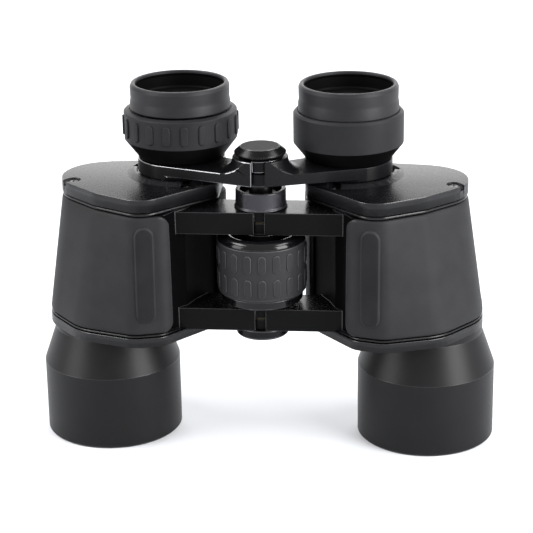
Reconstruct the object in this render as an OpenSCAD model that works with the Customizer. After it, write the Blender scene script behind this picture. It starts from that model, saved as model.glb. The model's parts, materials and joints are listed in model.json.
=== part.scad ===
// Centre-focus Porro-prism binoculars standing on their two objective rims.
// +X runs to the right seen from the front, +Y to the back, +Z up along the tubes.
// The origin is on the surface the objectives stand on, in the middle of the plan.

/* [Optical axes] */
// Distance between the two eyepiece axes
eye_gap = 63.2; // [62.6:0.1:63.8]
// How far the eyepiece axes lie behind the hinge axis
eye_back = 18.3; // [18:0.1:18.6]
// Distance between the two objective axes
objective_gap = 123.4; // [122.8:0.2:124]
// How far the objective axes lie behind the hinge axis
objective_back = 19.4; // [19:0.1:19.8]

/* [Objective end] */
// Outer diameter of the objective barrels
barrel_d = 53; // [52.6:0.1:53.4]
// Height of the straight part of a barrel
barrel_h = 29; // [28:0.5:30]
// Diameter of the objective lenses
objective_d = 44; // [43:0.5:44]
// Depth of the filter behind the barrel rim
filter_depth = 7.4; // [7:0.1:7.6]

/* [Body] */
// Height of the underside of the objective covers
low_cover_z = 48.5; // [48:0.1:48.8]
// Height of the lower edge of the rubber armour
armour_low_z = 53.5; // [53.3:0.1:54]
// Height of the upper edge of the rubber armour
armour_high_z = 98.5; // [98.3:0.1:98.8]
// Height of the flat top of the eyepiece covers
cover_top_z = 105.3; // [105:0.1:105.4]
// Thickness of the rubber armour
armour_t = 1.6; // [1.4:0.1:1.8]
// Wall of the cast prism housings
wall = 1.8; // [1.6:0.1:2]
// How far the finger pads stand proud of the armour
pad_proud = 0.9; // [0.6:0.1:1.2]

/* [Hinge] */
// Half the slot between the left and right body arms
arm_slot = 1.95; // [1.9:0.05:2.1]
// Half the slot between the left and right bridge arms
bridge_slot = 2.45; // [2.3:0.05:2.6]
// Diameter of the hinge pivots
pivot_d = 12; // [11.6:0.1:12.2]
// Diameter of the focusing rod
rod_d = 8.8; // [8.4:0.1:9]

/* [Focus wheel] */
// Diameter over the rubber sleeve of the focus wheel
wheel_d = 33; // [32.6:0.1:33.2]
// Finger ribs in each row round the wheel
wheel_ribs = 19; // [16:1:22]

/* [Eyepieces] */
// Top of the eyecups
eyecup_top_z = 140.35; // [139.5:0.05:141]
// Outer diameter of the eyecups
eyecup_d = 37.2; // [36.8:0.1:37.4]
// Diameter of the dioptre ring under its ribs
dioptre_d = 42.6; // [42.2:0.1:42.8]
// Diameter of the plain ring of the other eyepiece
collar_d = 41.4; // [41:0.1:41.8]
// Ribs round the dioptre ring
dioptre_ribs = 20; // [16:1:22]

/* [Hidden] */
$fn = 96;
eps = 0.01;

// --- where things are, from the hinge axis ---
eye = [eye_gap / 2, eye_back];
objective = [objective_gap / 2, objective_back];
// The middle axis, where light passes from one prism to the other, makes a right angle with both
prism_mid = (eye + objective) / 2;
fold_axis = prism_mid + [objective.y - prism_mid.y, prism_mid.x - objective.x];

// --- plan outlines: corner circles [x, y, radius, arc pieces], anticlockwise from the inner front corner ---
eye_end = [eye.x, eye.y, 15.6, 14];
hinge_corner = [21.5, 6.5, 5.5, 5];
body_high = [
    [37.4, -12.5, 5.8, 6], [43.5, -10.3, 9, 5], [53, 0, 12.9, 4],
    [59, 12.5, 17.6, 12], [57.5, 14.5, 16, 6], eye_end
];
body_low = [
    [37.4, -13.4, 5.8, 6], [46, -11.5, 10, 5], [57, 1, 18.4, 4],
    [62.2, 11.5, 20.9, 12], [objective.x, objective.y, 21.4, 6], eye_end
];
cover_high = [
    [43, -10.4, 9.05, 9], [53, 0, 12.9, 4], [59, 12.5, 17.6, 12], [57.5, 14.5, 16, 6], eye_end,
    hinge_corner
];
cover_low = [
    [39.5, -12.5, 7.3, 6], [46, -11.5, 10, 5], [57, 1, 18.4, 4],
    [62.2, 11.5, 20.9, 12], [objective.x, objective.y, 21.4, 6], eye_end, hinge_corner
];
// Between the halves the armour stops and the bare casting shows, with an upright edge of its own
bare_x = 33.6;
bare_front = -11.6;
bare_back = 12;
bare_edge = [27.7, -6.4];

// --- finger pads: middle and half width across, ends in height ---
pad_x = [41.2, 3.6];
pad_z = [58, 95];

// The plan reaches from the foot of the finger pads, just inside the body's corner, to the back of the barrels
pad_corner = between(body_low, body_high, armour_low_z, armour_high_z, pad_z[0])[1];
pad_setback = 0.2;
plan_front = pad_corner.y - pad_corner[2] - pad_proud + pad_setback;
plan_back = objective_back + barrel_d / 2;
hinge_y = -(plan_front + plan_back) / 2;

// --- heights ---
casting_low_z = armour_low_z - 1.5;
shelf_z = 76;
shelf_t = 3;
lower_arm = [51.6, 60.2];
upper_arm = [89.4, 97.9];
bridge_arm = [107.8, 117.1];
bridge_plate_top = 111.8;
bridge_ring_bottom = 106.3;

// --- hinge ---
arm_front = -9.5;
arm_back = 7;
knuckle_r = 8.2;
knuckle_gap = 0.5;
swing_clearance = 0.3;
running = 0.06;
pivot_r = pivot_d / 2;
rod_r = rod_d / 2;

// --- fasteners ---
cover_screw_at = [[71, 5.5], [27.3, -0.8], [48.2, 22]];
low_screw_at = [[77.7, 3.5], [27.6, 0.6], [41, -16]];
screw_r = 1.1;
screw_head_r = 2.2;
screw_head_h = 1.4;
screw_length = 8;
screw_sink = 1.9;

// --- optics ---
prism_r = 8.5;
barrel_r = barrel_d / 2;
lens_r = objective_d / 2;
lens_edge = lens_r - 0.05;
cell_r = 24.6;
cell_back_z = 22;
barrel_neck_r = 18.5;
barrel_top_r = 21.6;
tube_r = 11.5;
tube_bore_r = 10.6;
tube_neck_r = 14.2;
tube_low_z = 92;
ocular_r = 12.6;
ocular_low_r = 10.3;
ocular_flange_z = 131.2;

// ===== outline mathematics =====

// Outward normal of the line that runs along the outside of circles a and then b
function outer_normal(a, b) =
    let (d = [b.x - a.x, b.y - a.y], l = norm(d), u = d / l, k = (a[2] - b[2]) / l)
    k * u + sqrt(1 - k * k) * [u.y, -u.x];

function grow(circles, by) = [for (c = circles) [c.x, c.y, c[2] + by, c[3]]];

function arc_from(c, a, b) =
    let (turn = b < a ? b + 360 - a : b - a)
    [for (k = [0:c[3]]) let (t = a + turn * k / c[3]) [c.x + c[2] * cos(t), c.y + c[2] * sin(t)]];

// The band round a ring of circles, as arcs joined by straight lines
function outline(circles) =
    let (n = len(circles))
    [for (i = [0:n - 1])
        let (
            c = circles[i],
            before = outer_normal(circles[(i + n - 1) % n], c),
            after = outer_normal(c, circles[(i + 1) % n])
        )
        each arc_from(c, atan2(before.y, before.x), atan2(after.y, after.x))];

// The circles at height z of a body that goes straight from low, at z0, to high, at z1
function between(low, high, z0, z1, z) =
    let (t = (z - z0) / (z1 - z0))
    [for (i = [0:len(low) - 1]) low[i] * (1 - t) + high[i] * t];

module slab(circles, z0, z1) {
    translate([0, 0, z0])
        linear_extrude(z1 - z0)
            polygon(outline(circles));
}

// A solid whose outline changes evenly from low at z0 to high at z1, in a few levels
module loft(low, high, z0, z1, levels = 1) {
    n = len(outline(low));
    points = [for (k = [0:levels])
        let (z = z0 + (z1 - z0) * k / levels)
        each [for (p = outline(between(low, high, z0, z1, z))) [p.x, p.y, z]]];
    sides = [for (k = [0:levels - 1], i = [0:n - 1])
        let (a = k * n + i, b = k * n + (i + 1) % n)
        each [[a, a + n, b + n], [a, b + n, b]]];
    floor_face = [for (i = [0:n - 1]) i];
    roof_face = [for (i = [n - 1:-1:0]) i + n * levels];
    polyhedron(points, concat([floor_face, roof_face], sides), convexity = 6);
}

// Everything is drawn from the hinge axis and for the right half, then placed
module placed(side = 1) {
    translate([0, hinge_y, 0])
        mirror([side < 0 ? 1 : 0, 0, 0])
            children();
}

module at_eye() {
    translate([eye.x, eye.y, 0])
        children();
}

module at_objective() {
    translate([objective.x, objective.y, 0])
        children();
}

module disc(r, z0, z1) {
    translate([0, 0, z0])
        cylinder(r = r, h = z1 - z0);
}

// ===== hinge arms =====

// Joins children, the arm on its own side, to a knuckle that fills one half of the height
module knuckled(levels, upper, slot, radius, bore) {
    middle = (levels[0] + levels[1]) / 2;
    own = upper ? [middle + knuckle_gap / 2, levels[1]] : [levels[0], middle - knuckle_gap / 2];
    other = upper ? [levels[0] - 1, own[0]] : [own[1], levels[1] + 1];
    difference() {
        union() {
            difference() {
                children();
                translate([slot - 100, -50, levels[0] - 1])
                    cube([100, 100, levels[1] - levels[0] + 2]);
            }
            disc(radius, own[0], own[1]);
        }
        disc(radius + swing_clearance, other[0], other[1]);
        disc(bore, levels[0] - 1, levels[1] + 1);
    }
}

module body_arm(levels, upper, bore) {
    knuckled(levels, upper, arm_slot, knuckle_r, bore)
        translate([0, arm_front, levels[0]])
            cube([36, arm_back - arm_front, levels[1] - levels[0]]);
}

// ===== prism housing =====

// The body's outer form, pulled in or pushed out, always with the same facets
module body_shape(by, past = 0) {
    z0 = armour_low_z - past;
    z1 = armour_high_z + past;
    loft(grow(body_low, by), grow(body_high, by), z0, z1, 4);
}

module casting_shape(by = 0) {
    body_shape(by - armour_t);
    slab(grow(body_low, by - armour_t), casting_low_z, armour_low_z + eps);
}

module bare_box(z0, z1) {
    translate([0, bare_front, z0])
        cube([bare_x, bare_back - bare_front, z1 - z0]);
}

// The casting's upright edge beside the wheel
module inner_edge() {
    translate([0, 0, casting_low_z])
        linear_extrude(armour_high_z - casting_low_z)
            polygon([
                [33.6, -12], bare_edge + [0.5, -0.4], bare_edge + [0, 0.4], [21.1, 11.8], [34, 11.8]
            ]);
}

module prism_space() {
    inset = -armour_t - wall;
    room = grow(body_high, inset);
    ledge = 1.5;
    slab(room, shelf_z, armour_high_z + 1);
    slab(grow(room, -ledge), shelf_z - 2.5, shelf_z + eps);
    loft(
        grow(between(body_low, body_high, armour_low_z, armour_high_z, casting_low_z), inset),
        room, casting_low_z - eps, shelf_z - 2.5 + eps
    );
}

module screw_bosses() {
    at = cover_screw_at;
    translate([at[0].x, at[0].y, armour_high_z - 10])
        cylinder(r = 2.5, h = 10);
    translate([at[2].x, at[2].y, armour_high_z - 10])
        cylinder(r = 2.2, h = 10);
    translate([at[2].x - 1.1, at[2].y, armour_high_z - 10])
        cube([2.2, 7, 10]);
    low = low_screw_at;
    translate([low[0].x, low[0].y, casting_low_z])
        cylinder(r = 2.5, h = 8);
    translate([low[2].x, low[2].y, casting_low_z])
        cylinder(r = 2.5, h = 8);
}

module inner_edge_room() {
    bare_box(casting_low_z, armour_low_z + 1);
}

// A loop that stands off the back of the casting, for the neck strap
module strap_lug(grown = 0) {
    reach = 5.6;
    translate([body_high[3].x, body_high[3].y, 0])
        rotate(62)
            translate([body_high[3][2] - 2.5, -2 - grown, 82 - grown])
                difference() {
                    cube([2.5 + reach, 4 + 2 * grown, 14 + 2 * grown]);
                    if (grown == 0)
                        translate([2.9, -1, 2.5])
                            cube([3, 6, 9]);
                }
}

module housing(side) {
    upper = side < 0;
    fit = upper ? 0 : running;
    difference() {
        union() {
            difference() {
                union() {
                    casting_shape();
                    inner_edge();
                    body_arm(upper_arm, upper, pivot_r + fit);
                    body_arm(lower_arm, upper, pivot_r + fit);
                    strap_lug();
                }
                prism_space();
            }
            intersection() {
                screw_bosses();
                casting_shape(-eps);
            }
        }
        for (p = cover_screw_at)
            translate([p.x, p.y, armour_high_z - screw_length])
                cylinder(r = screw_r, h = screw_length + 1);
        for (p = low_screw_at)
            translate([p.x, p.y, casting_low_z - 1])
                cylinder(r = screw_r, h = screw_length + 0.5);
    }
}

module housing_left() color("#222224") placed(-1) housing(-1);

module housing_right() color("#222224") placed(1) housing(1);

// ===== rubber armour =====

// The upright oblong where the fingers rest
module finger_pad() {
    r = pad_x[1];
    ends = [[pad_x[0], pad_z[0] + r, r, 12], [pad_x[0], pad_z[1] - r, r, 12]];
    intersection() {
        body_shape(pad_proud);
        rotate([90, 0, 0])
            linear_extrude(40)
                polygon(outline(ends));
    }
}

// Rounds the armour's corners beside the hinge arms
module corner_cut(z, up) {
    r = 5.5;
    translate([31.6 - 1, -30, z])
        mirror([0, 0, up ? 1 : 0])
            difference() {
                translate([0, 0, -1])
                    cube([r + 1, 24, r + 1]);
                translate([r + 1, -1, r])
                    rotate([-90, 0, 0])
                        cylinder(r = r, h = 26);
            }
}

module armour() {
    glue = 0.05;
    difference() {
        union() {
            body_shape(0);
            finger_pad();
        }
        body_shape(glue - armour_t, eps);
        bare_box(armour_low_z - 1, armour_high_z + 1);
        strap_lug(0.3);
        corner_cut(armour_low_z, false);
        corner_cut(armour_high_z, true);
    }
}

module armour_left() color("#3a3a3d") placed(-1) armour();

module armour_right() color("#3a3a3d") placed(1) armour();

// ===== covers =====

groove = 1.2;

// A half-round bead between two shadow grooves, as three steps
module bead(circles, z0, z1) {
    step = (z1 - z0) / 4;
    slab(grow(circles, -groove), z0 - 0.45, z1 + 0.45);
    slab(grow(circles, -0.65), z0, z1);
    slab(grow(circles, -0.3), z0 + step, z1 - step);
}

// A screw's recess, which runs out through the cover's edge in a point
module edge_notch(at, centre, z, depth) {
    away = at - centre;
    reach = 6;
    tip = at + away / norm(away) * reach;
    translate([0, 0, z - depth])
        linear_extrude(depth + 1)
            polygon(outline([[at.x, at.y, 2.7, 18], [tip.x, tip.y, 0.3, 6]]));
}

module eyepiece_cover() {
    inset = -armour_t - wall;
    boss_top = cover_top_z + 1.2;
    difference() {
        union() {
            bead(cover_high, armour_high_z + 0.45, armour_high_z + 1.55);
            slab(cover_high, armour_high_z + 2, cover_top_z);
            intersection() {
                slab(grow(cover_high, -0.4), cover_top_z - 1, boss_top + 1);
                at_eye()
                    rotate_extrude()
                        polygon([
                            [17.3, cover_top_z - 1], [20.8, cover_top_z - 1], [20.8, cover_top_z],
                            [18.3, boss_top], [17.3, boss_top]
                        ]);
            }
        }
        slab(grow(body_high, inset), armour_high_z - 1, cover_top_z - 1.6);
        at_eye()
            disc(tube_r + 0.3, armour_high_z, boss_top + 2);
        at_eye()
            disc(tube_r + 1.6, cover_top_z - 2.2, cover_top_z + 1);
        edge_notch(cover_screw_at[0], [59, 12.5], cover_top_z, screw_sink);
        for (p = cover_screw_at)
            translate([p.x, p.y, armour_high_z - 1]) {
                cylinder(r = screw_r, h = 10);
                translate([0, 0, cover_top_z - screw_sink - armour_high_z + 1])
                    cylinder(r = 2.7, h = 10);
            }
    }
}

module eyepiece_cover_left() color("#1d1d1f") placed(-1) eyepiece_cover();

module eyepiece_cover_right() color("#1d1d1f") placed(1) eyepiece_cover();

module objective_cover() {
    casting_foot = grow(body_low, 0.02 - armour_t);
    difference() {
        union() {
            slab(cover_low, low_cover_z, casting_low_z);
            difference() {
                bead(cover_low, casting_low_z + 0.45, armour_low_z - 0.45);
                slab(casting_foot, casting_low_z, armour_low_z + 1);
                inner_edge_room();
            }
        }
        translate([0, arm_front, lower_arm[0]])
            cube([40, arm_back - arm_front, 4]);
        at_objective()
            disc(barrel_neck_r, low_cover_z - 1, armour_low_z);
        for (p = low_screw_at)
            translate([p.x, p.y, low_cover_z - 1]) {
                cylinder(r = screw_r, h = 6);
                cylinder(r = 2.7, h = 1 + screw_head_h + 0.3);
            }
        translate([fold_axis.x, fold_axis.y, casting_low_z - 1])
            cylinder(r = 8, h = 2);
    }
}

module objective_cover_left() color("#1d1d1f") placed(-1) objective_cover();

module objective_cover_right() color("#1d1d1f") placed(1) objective_cover();

// A pan-head screw with its head at z, pointing down, with a cross recess
module screw(z, length) {
    difference() {
        union() {
            disc(screw_r, z - length, z);
            translate([0, 0, z])
                rotate_extrude()
                    polygon([
                        [0, 0], [screw_head_r, 0], [screw_head_r, 0.6],
                        [screw_head_r - 0.6, screw_head_h - 0.1], [1.2, screw_head_h], [0, screw_head_h]
                    ]);
        }
        for (turn = [0, 90])
            translate([0, 0, z + screw_head_h])
                rotate([0, 0, turn])
                    cube([2.4, 0.5, 1.8], center = true);
    }
}

module cover_screws() {
    for (p = cover_screw_at)
        translate([p.x, p.y, 0])
            screw(cover_top_z - screw_sink, screw_length);
}

module cover_screws_left() color("#4a4a4d") placed(-1) cover_screws();

module cover_screws_right() color("#4a4a4d") placed(1) cover_screws();

module objective_cover_screws() {
    for (p = low_screw_at)
        translate([p.x, p.y, 0])
            mirror([0, 0, 1])
                screw(-(low_cover_z + screw_head_h + 0.3), screw_length);
}

module objective_cover_screws_left() color("#4a4a4d") placed(-1) objective_cover_screws();

module objective_cover_screws_right() color("#4a4a4d") placed(1) objective_cover_screws();

// ===== objectives =====

module objective_barrel() {
    shoulder = 43;
    at_objective()
        rotate_extrude()
            polygon([
                [barrel_r - 0.7, 0], [barrel_r, 0.7], [barrel_r, barrel_h], [barrel_top_r, shoulder],
                [barrel_top_r, low_cover_z], [barrel_neck_r, low_cover_z],
                [barrel_neck_r, casting_low_z], [17.2, casting_low_z], [17.2, 45],
                [cell_r - 0.8, 27.5], [cell_r - 0.8, cell_back_z], [cell_r, cell_back_z],
                [cell_r, 0.6], [cell_r + 0.6, 0]
            ]);
}

module objective_barrel_left() color("#262628") placed(-1) objective_barrel();

module objective_barrel_right() color("#262628") placed(1) objective_barrel();

crown_front_z = 14.2;
crown_back_z = 15.8;
flint_back_z = 20.4;
front_curve = 95;
inner_curve = 75;

module objective_cell() {
    at_objective()
        rotate_extrude()
            polygon([
                [cell_r, filter_depth + 1.6], [cell_r, cell_back_z], [lens_r - 1.4, cell_back_z],
                [lens_r - 1.4, flint_back_z], [lens_r, flint_back_z], [lens_r, 13.2],
                [lens_r + 0.9, 12.4], [lens_r + 0.9, filter_depth + 1.6]
            ]);
}

module objective_cell_left() color("#111111") placed(-1) objective_cell();

module objective_cell_right() color("#111111") placed(1) objective_cell();

// Height of a lens face of the given curve above its own rim
function sag(curve, r) = curve - sqrt(curve * curve - r * r);

// Profile points of a lens face, from the middle to the rim at rim_z; way is 1 up or -1 down
function lens_face(curve, rim_z, way) =
    let (n = 10)
    [for (k = [0:n])
        let (r = lens_edge * k / n)
        [r, rim_z + way * (sag(curve, lens_edge) - sag(curve, r))]];

function turned(list) = [for (k = [len(list) - 1:-1:0]) list[k]];

module crown_lens() {
    at_objective()
        rotate_extrude()
            polygon(concat(
                lens_face(front_curve, crown_front_z, -1), turned(lens_face(inner_curve, crown_back_z, 1))
            ));
}

module crown_lens_left() color("#9fb4b0") placed(-1) crown_lens();

module crown_lens_right() color("#9fb4b0") placed(1) crown_lens();

// Cemented to the crown lens, so both share the inner curve
module flint_lens() {
    at_objective()
        rotate_extrude()
            polygon(concat(
                lens_face(inner_curve, crown_back_z, 1), [[lens_edge, flint_back_z], [0, flint_back_z]]
            ));
}

module flint_lens_left() color("#9fb4b0") placed(-1) flint_lens();

module flint_lens_right() color("#9fb4b0") placed(1) flint_lens();

module solar_filter() {
    at_objective()
        disc(cell_r - 0.2, filter_depth, filter_depth + 1.6);
}

module solar_filter_left() color("#0c0c10") placed(-1) solar_filter();

module solar_filter_right() color("#0c0c10") placed(1) solar_filter();

// Threaded ring with two spanner slots
module filter_ring() {
    low = filter_depth - 2.4;
    at_objective()
        difference() {
            disc(cell_r, low, filter_depth);
            disc(cell_r - 2, low - 1, filter_depth + 1);
            translate([-30, -0.8, low - 1])
                cube([60, 1.6, 2]);
        }
}

module filter_ring_left() color("#1a1a1c") placed(-1) filter_ring();

module filter_ring_right() color("#1a1a1c") placed(1) filter_ring();

// ===== prisms =====

// Places children with +X along the line from a to b and the origin at its middle
module along(a, b) {
    translate([(a.x + b.x) / 2, (a.y + b.y) / 2, 0])
        rotate(atan2(b.y - a.y, b.x - a.x))
            children();
}

// Right-angle prism with its long face at z = 0 and its ends rounded in plan
module porro_prism(a, b) {
    half = norm(b - a) / 2;
    reach = half + prism_r;
    cut = 2;
    along(a, b)
        intersection() {
            rotate([90, 0, 0])
                linear_extrude(2 * prism_r, center = true)
                    polygon([[-reach, 0], [reach, 0], [cut, reach - cut], [-cut, reach - cut]]);
            union() {
                translate([-half, -prism_r, -1])
                    cube([2 * half, 2 * prism_r, reach + 2]);
                translate([-half, 0, -1])
                    cylinder(r = prism_r, h = reach + 2);
                translate([half, 0, -1])
                    cylinder(r = prism_r, h = reach + 2);
            }
        }
}

module prism_upper() {
    intersection() {
        translate([0, 0, shelf_z + shelf_t])
            porro_prism(fold_axis, objective);
        slab(grow(body_high, -armour_t - wall - 0.4), shelf_z, armour_high_z);
    }
}

module prism_lower() {
    translate([0, 0, shelf_z])
        mirror([0, 0, 1])
            porro_prism(fold_axis, eye);
}

module prism_upper_left() color("#b9c6c8") placed(-1) prism_upper();

module prism_upper_right() color("#b9c6c8") placed(1) prism_upper();

module prism_lower_left() color("#b9c6c8") placed(-1) prism_lower();

module prism_lower_right() color("#b9c6c8") placed(1) prism_lower();

module prism_shelf() {
    window = prism_r - 0.9;
    difference() {
        slab(grow(body_high, -armour_t - wall - 0.15), shelf_z, shelf_z + shelf_t);
        for (p = [eye, fold_axis, objective])
            translate([p.x, p.y, shelf_z - 1])
                cylinder(r = window, h = shelf_t + 2);
    }
}

module prism_shelf_left() color("#2c2c2e") placed(-1) prism_shelf();

module prism_shelf_right() color("#2c2c2e") placed(1) prism_shelf();

// Spring strap over a prism: a bridge with two feet
module prism_clip(a, b) {
    strap = 0.5;
    leg = prism_r + 0.3;
    top = norm(b - a) / 2 + prism_r - 2 + 0.05;
    foot = 2.6;
    along(a, b)
        rotate([90, 0, 90])
            linear_extrude(5, center = true)
                polygon([
                    [-leg - foot, 0], [-leg, 0], [-leg, top], [leg, top], [leg, 0], [leg + foot, 0],
                    [leg + foot, strap], [leg + strap, strap], [leg + strap, top + strap],
                    [-leg - strap, top + strap], [-leg - strap, strap], [-leg - foot, strap]
                ]);
}

module prism_clips() {
    translate([0, 0, shelf_z + shelf_t])
        prism_clip(fold_axis, objective);
    translate([0, 0, shelf_z])
        mirror([0, 0, 1])
            prism_clip(fold_axis, eye);
}

module prism_clips_left() color("#a8a8a0") placed(-1) prism_clips();

module prism_clips_right() color("#a8a8a0") placed(1) prism_clips();

// ===== eyepieces =====

// Felt ring in the cover, which keeps dust out round the sliding tube
module tube_seal() {
    at_eye()
        difference() {
            disc(tube_r + 1.6, cover_top_z - 2.2, cover_top_z - 0.2);
            disc(tube_r + 0.1, cover_top_z - 3, cover_top_z + 1);
        }
}

module tube_seal_left() color("#151515") placed(-1) tube_seal();

module tube_seal_right() color("#151515") placed(1) tube_seal();

module eyepiece_tube() {
    neck_top = 127.5;
    step = bridge_ring_bottom + 0.4;
    at_eye()
        rotate_extrude()
            polygon([
                [tube_bore_r, tube_low_z], [tube_r, tube_low_z], [tube_r, bridge_ring_bottom],
                [tube_neck_r, bridge_ring_bottom], [tube_neck_r, neck_top],
                [ocular_r + 0.3, neck_top], [ocular_r + 0.3, step], [tube_bore_r, step]
            ]);
}

module eyepiece_tube_left() color("#303033") placed(-1) eyepiece_tube();

module eyepiece_tube_right() color("#303033") placed(1) eyepiece_tube();

field_lens_r = 9.2;
eye_lens_r = 10.2;
field_lens_z = 98;
eye_lens_z = 127.4;

module ocular_barrel() {
    flange_r = eyecup_d / 2 - 2;
    step = bridge_ring_bottom + 1.4;
    at_eye()
        rotate_extrude()
            polygon([
                [field_lens_r, 96], [ocular_low_r, 96], [ocular_low_r, step], [ocular_r, step],
                [ocular_r, ocular_flange_z], [flange_r, ocular_flange_z],
                [flange_r, ocular_flange_z + 2.4], [9.6, ocular_flange_z + 2.4],
                [9.6, eye_lens_z + 4.4], [eye_lens_r, eye_lens_z + 4.4], [eye_lens_r, eye_lens_z],
                [8.4, eye_lens_z], [8.4, field_lens_z + 4], [field_lens_r, field_lens_z + 4]
            ]);
}

module ocular_barrel_left() color("#19191b") placed(-1) ocular_barrel();

module ocular_barrel_right() color("#19191b") placed(1) ocular_barrel();

// A lens flat on one side, domed on the other
module plano_lens(r, z, thick, curve, dome_up) {
    dome_z = dome_up ? z + thick - curve : z + curve;
    at_eye()
        intersection() {
            disc(r, z, z + thick);
            translate([0, 0, dome_z])
                sphere(curve);
        }
}

module field_lens_left() color("#9fb4b0") placed(-1) plano_lens(field_lens_r, field_lens_z, 4, 24, false);

module field_lens_right() color("#9fb4b0") placed(1) plano_lens(field_lens_r, field_lens_z, 4, 24, false);

module eye_lens_left() color("#9fb4b0") placed(-1) plano_lens(eye_lens_r, eye_lens_z, 4.3, 22, false);

module eye_lens_right() color("#9fb4b0") placed(1) plano_lens(eye_lens_r, eye_lens_z, 4.3, 22, false);

// Rubber cup that folds down for a wearer of glasses
module eyecup() {
    r = eyecup_d / 2;
    seat = ocular_flange_z;
    rim = eyecup_top_z;
    at_eye()
        rotate_extrude()
            polygon([
                [r - 2, seat], [r - 0.3, seat], [r, seat + 0.4], [r, rim - 1], [r - 0.3, rim - 0.3],
                [r - 0.9, rim], [r - 1.5, rim], [r - 2, rim - 0.4], [r - 2, rim - 1.2],
                [r - 1.6, rim - 2], [r - 1.6, seat + 3.2], [r - 2, seat + 2.6]
            ]);
}

module eyecup_left() color("#3a3a3d") placed(-1) eyecup();

module eyecup_right() color("#3a3a3d") placed(1) eyecup();

// Upright ribs with round ends, standing proud of a drum of radius r
module ribs(count, r, z0, z1, width, proud, first = 0) {
    end = width / 2;
    rib = [[0, z0 + end, end, 6], [0, z1 - end, end, 6]];
    for (i = [0:count - 1])
        rotate(first + i * 360 / count)
            rotate([90, 0, 0])
                translate([0, 0, r - 0.6])
                    linear_extrude(0.6 + proud)
                        polygon(outline(rib));
}

// The drum profile that both eyepiece rings share
module ring_drum(r, foot_r, low, chamfer_top, shoulder, top, slack) {
    bore = tube_neck_r + slack;
    rotate_extrude()
        polygon([
            [bore, low], [foot_r, low], [r, chamfer_top], [r, shoulder - 0.3], [r - 0.3, shoulder],
            [r - 1.3, top - 0.25], [r - 2.2, top], [bore, top]
        ]);
}

module dioptre_ring() {
    color("#37373a")
        placed(-1)
            at_eye() {
                r = dioptre_d / 2;
                ring_drum(r, 16, 112.2, 119.8, 129, 130, 0.08);
                ribs(dioptre_ribs, r, 120.7, 128.3, 2.8, 0.6, 6.8);
            }
}

module ocular_collar() {
    color("#37373a")
        placed(1)
            at_eye()
                ring_drum(collar_d / 2, 15.9, bridge_plate_top, 117.6, 128.6, 129.8, 0);
}

// ===== bridge =====

module bridge_half(upper) {
    hub_r = 10.3;
    ring_r = 16.6;
    flare = bridge_arm[1] - bridge_plate_top;
    rear = 6;
    inside = 0.05;
    plan = [[0, 0, hub_r - inside, 18], [eye.x, eye.y, ring_r - inside, 26]];
    flare_end = hub_r + flare - 0.1;
    arc = [for (a = [270:-15:180]) [flare_end + flare * cos(a), bridge_arm[1] + flare * sin(a)]];
    difference() {
        union() {
            knuckled(bridge_arm, upper, bridge_slot, knuckle_r, upper ? rod_r : rod_r + running)
                union() {
                    disc(hub_r, bridge_arm[0], bridge_arm[1]);
                    difference() {
                        union() {
                            slab(plan, bridge_arm[0], bridge_plate_top);
                            intersection() {
                                slab(grow(plan, -inside), bridge_plate_top - 1, bridge_arm[1] - inside);
                                rotate_extrude()
                                    polygon(concat(
                                        [[0, bridge_plate_top - 2], [flare_end, bridge_plate_top - 2]],
                                        arc, [[0, bridge_arm[1]]]
                                    ));
                            }
                        }
                        rotate(atan2(eye.y, eye.x))
                            translate([-20, rear, bridge_arm[0] - 1])
                                cube([60, 40, 12]);
                    }
                }
            at_eye()
                disc(ring_r, bridge_ring_bottom, bridge_plate_top);
        }
        at_eye()
            disc(tube_neck_r, bridge_ring_bottom - 1, bridge_arm[1] + 1);
    }
}

module bridge_arm_left() color("#1d1d1f") placed(-1) bridge_half(true);

module bridge_arm_right() color("#1d1d1f") placed(1) bridge_half(false);

// ===== hinge and focusing =====

rod_slack = 0.08;
pivot_bore = rod_r + rod_slack;
collar_top = 104.9;

// Hollow pivot of the upper arms, which the focusing rod slides through
module upper_pivot() {
    color("#8c8c88")
        placed()
            rotate_extrude()
                polygon([
                    [pivot_bore, upper_arm[0] - 0.7], [7.6, upper_arm[0] - 0.7],
                    [7.6, upper_arm[0] - 0.1], [pivot_r, upper_arm[0] - 0.1],
                    [pivot_r, collar_top - 2], [pivot_bore, collar_top - 2]
                ]);
}

// The cup-shaped nut over the upper arms that sets how stiff the fold is
module collar_nut() {
    low = upper_arm[1] + 0.08;
    color("#2a2a2e")
        placed()
            rotate_extrude()
                polygon([
                    [pivot_r, low], [9.6, low], [10, low + 0.3], [9.5, low + 1],
                    [9.4, collar_top - 0.3], [9.1, collar_top], [8.1, collar_top],
                    [7.8, collar_top - 0.3], [7.8, low + 1.6], [pivot_r, low + 1.6]
                ]);
}

socket_r = 3.2;
socket_depth = 8;

// Pivot of the lower arms, with the tripod thread in its lower end
module lower_pivot() {
    color("#8c8c88")
        placed()
            rotate_extrude()
                polygon([
                    [socket_r, lower_arm[0]], [pivot_r, lower_arm[0]], [pivot_r, lower_arm[1]],
                    [7.6, lower_arm[1]], [7.6, lower_arm[1] + 0.6], [0, lower_arm[1] + 0.6],
                    [0, lower_arm[0] + socket_depth], [socket_r, lower_arm[0] + socket_depth]
                ]);
}

// Cap that closes the tripod thread
module tripod_cap() {
    top = lower_arm[0] - 0.15;
    color("#242426")
        placed() {
            rotate_extrude()
                polygon([
                    [0, 47.6], [9.2, 47.6], [10, 48.4], [10, top - 0.3], [9.7, top], [0, top]
                ]);
            disc(socket_r - 0.1, top - 1, lower_arm[0] + socket_depth - 1);
        }
}

// Brass shims between the two knuckles of each pair of body arms
module hinge_washers() {
    color("#a08a50")
        placed()
            for (levels = [lower_arm, upper_arm])
                difference() {
                    low = (levels[0] + levels[1] - knuckle_gap) / 2;
                    disc(knuckle_r - 0.2, low, low + 0.4);
                    disc(pivot_r + 0.2, low - 1, low + 2);
                }
}

rod_low_z = 66;

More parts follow.
